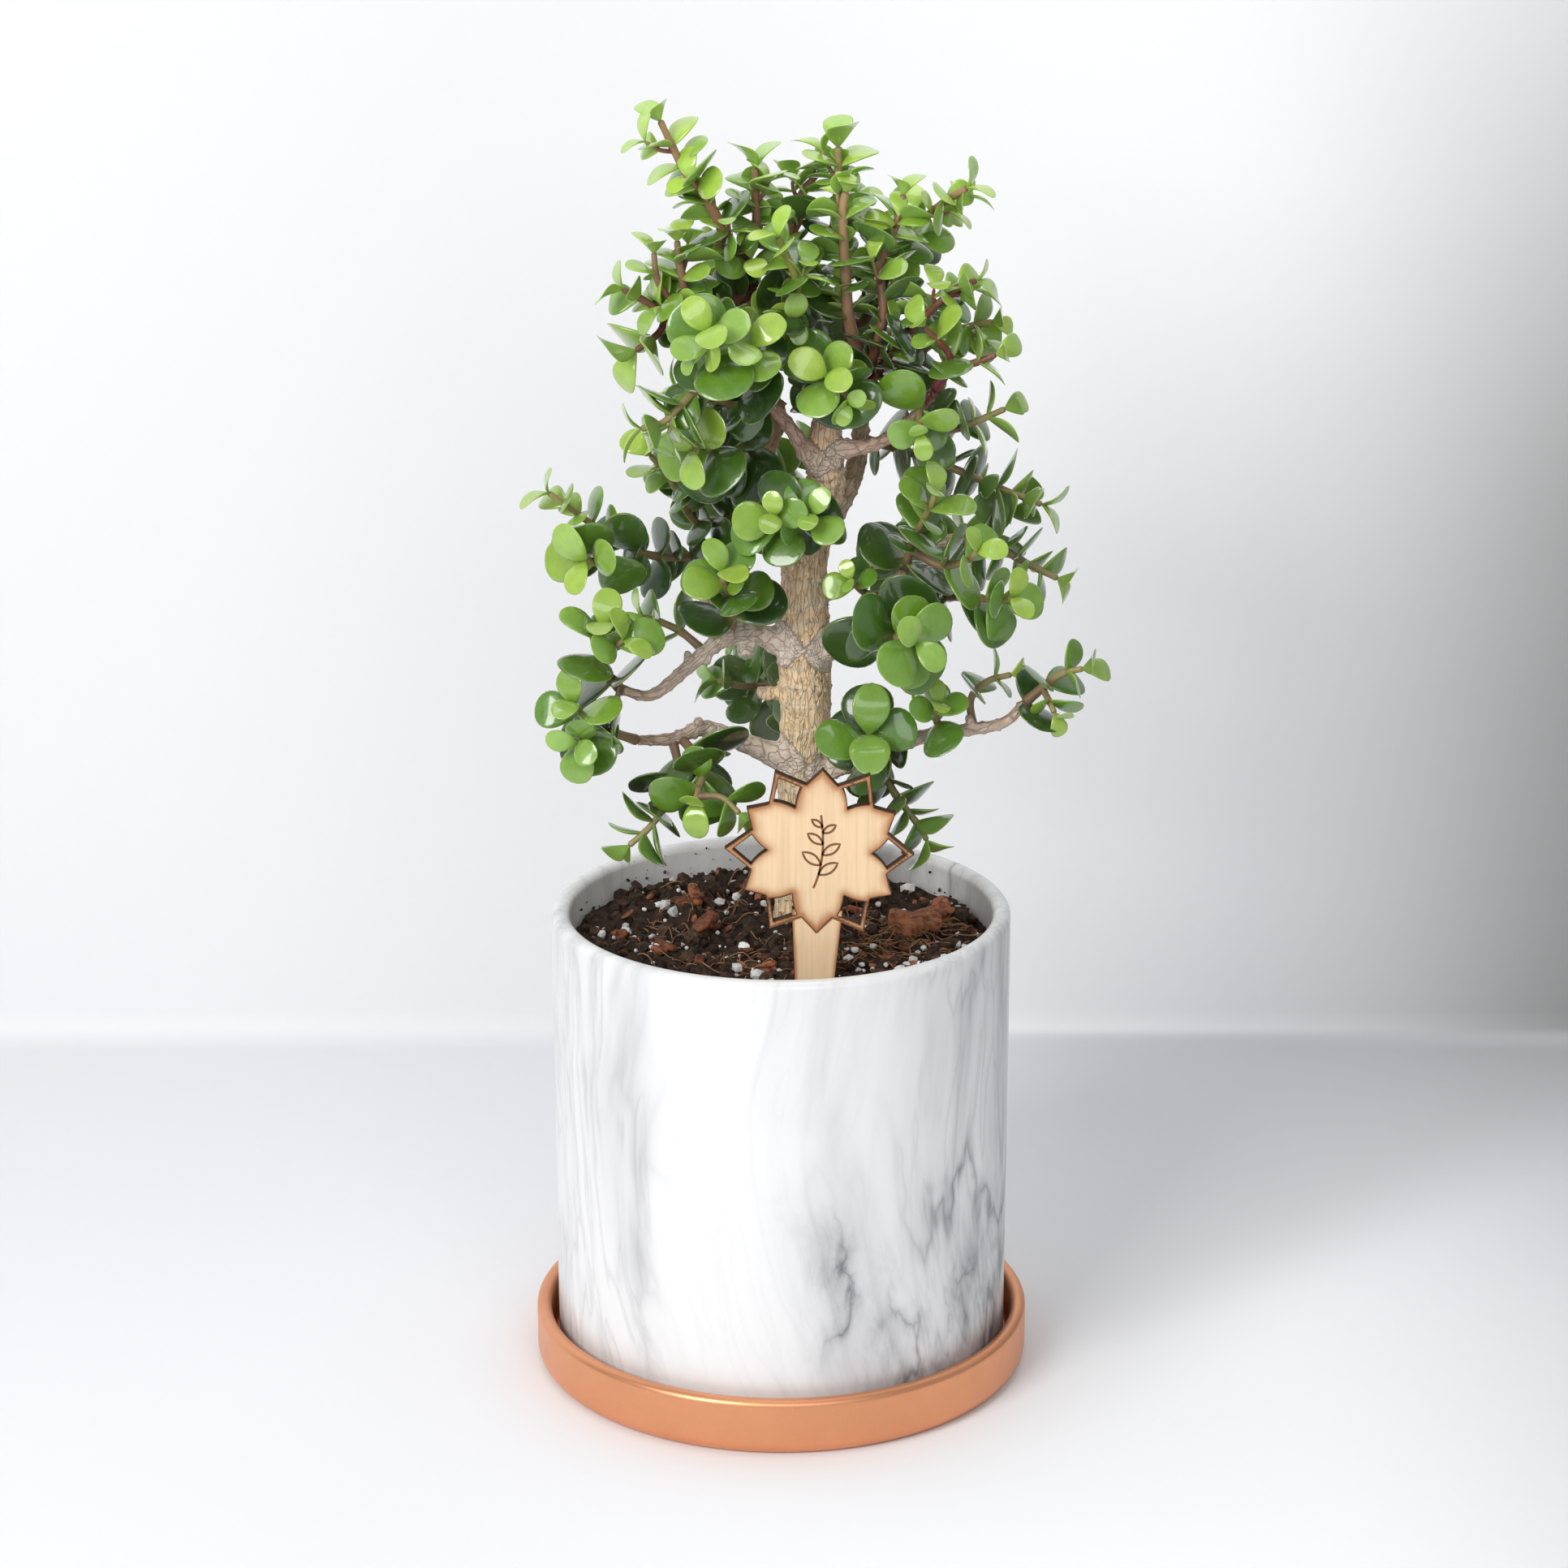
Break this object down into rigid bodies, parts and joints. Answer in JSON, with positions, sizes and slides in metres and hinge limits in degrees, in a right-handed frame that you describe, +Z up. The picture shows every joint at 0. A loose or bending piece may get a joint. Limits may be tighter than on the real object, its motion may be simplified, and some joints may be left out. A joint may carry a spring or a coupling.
{
  "type": "potted dwarf jade plant",
  "caption": "Dwarf jade plant grown as a small tree in a marbled cylinder pot on a copper saucer, with a wooden flower-shaped pick in the soil.",
  "frame": {"origin": "centre of the saucer's underside, on the surface it stands on, on the axis of the pot and saucer", "axes": "+Z up along the pot's axis, -Y towards the front, where the pick faces, +X to the viewer's right"},
  "size_m": [0.1876, 0.1887, 0.4209],
  "materials": {
    "marbled_glaze": "satin white glaze with soft grey marble veins",
    "copper_glaze": "satin copper metallic coating",
    "potting_soil": "loose dark potting mix with white perlite and bark",
    "bark_chip": "rough orange-brown bark and coir",
    "birch_plywood": "raw birch plywood with scorched laser-cut edges",
    "bark": "grey-brown fissured bark with pale node rings, olive near the soil",
    "leaves_and_green_stems": "waxy succulent leaves, bright at the tips and darker below, on olive to maroon stems"
  },
  "bodies": {
    "root": {"bark_chip": "bark_chip", "leader_left": "bark", "leader_rear": "bark", "limb_left_low": "bark", "limb_left_mid": "bark", "limb_rear_high": "bark", "limb_right_low": "bark", "limb_right_mid": "bark", "limb_right_rear": "bark", "limb_right_upper": "bark", "limb_upper_left": "bark", "plant_pick": "birch_plywood", "pot": "marbled_glaze", "saucer": "copper_glaze", "shoot_crown_front": "leaves_and_green_stems", "shoot_crown_middle": "leaves_and_green_stems", "shoot_far_left": "leaves_and_green_stems", "shoot_front_centre": "leaves_and_green_stems", "shoot_front_left": "leaves_and_green_stems", "shoot_front_left_low": "leaves_and_green_stems", "shoot_front_olive": "leaves_and_green_stems", "shoot_hanging_left": "leaves_and_green_stems", "shoot_hanging_left_low": "leaves_and_green_stems", "shoot_hanging_right": "leaves_and_green_stems", "shoot_left_green": "leaves_and_green_stems", "shoot_left_leader_back": "leaves_and_green_stems", "shoot_left_leader_side": "leaves_and_green_stems", "shoot_left_mid_side": "leaves_and_green_stems", "shoot_left_mid_top": "leaves_and_green_stems", "shoot_left_rosette_low": "leaves_and_green_stems", "shoot_left_rosette_top": "leaves_and_green_stems", "shoot_left_tips": "leaves_and_green_stems", "shoot_left_upper": "leaves_and_green_stems", "shoot_rear_crown": "leaves_and_green_stems", "shoot_rear_crown_left": "leaves_and_green_stems", "shoot_rear_high": "leaves_and_green_stems", "shoot_rear_low": "leaves_and_green_stems", "shoot_rear_right": "leaves_and_green_stems", "shoot_right_1": "leaves_and_green_stems", "shoot_right_2": "leaves_and_green_stems", "shoot_right_3": "leaves_and_green_stems", "shoot_right_4": "leaves_and_green_stems", "shoot_right_drop": "leaves_and_green_stems", "shoot_right_front": "leaves_and_green_stems", "shoot_right_low_small": "leaves_and_green_stems", "shoot_right_low_tip": "leaves_and_green_stems", "shoot_right_low_twig": "leaves_and_green_stems", "shoot_right_outer": "leaves_and_green_stems", "shoot_right_pair": "leaves_and_green_stems", "shoot_right_rear_1": "leaves_and_green_stems", "shoot_right_rear_2": "leaves_and_green_stems", "shoot_right_rosette": "leaves_and_green_stems", "shoot_small_rosette": "leaves_and_green_stems", "shoot_top_centre": "leaves_and_green_stems", "shoot_top_centre_rear": "leaves_and_green_stems", "shoot_top_left": "leaves_and_green_stems", "shoot_top_right": "leaves_and_green_stems", "shoot_top_right_outer": "leaves_and_green_stems", "soil": "potting_soil", "trunk": "bark"}
  },
  "joints": []
}
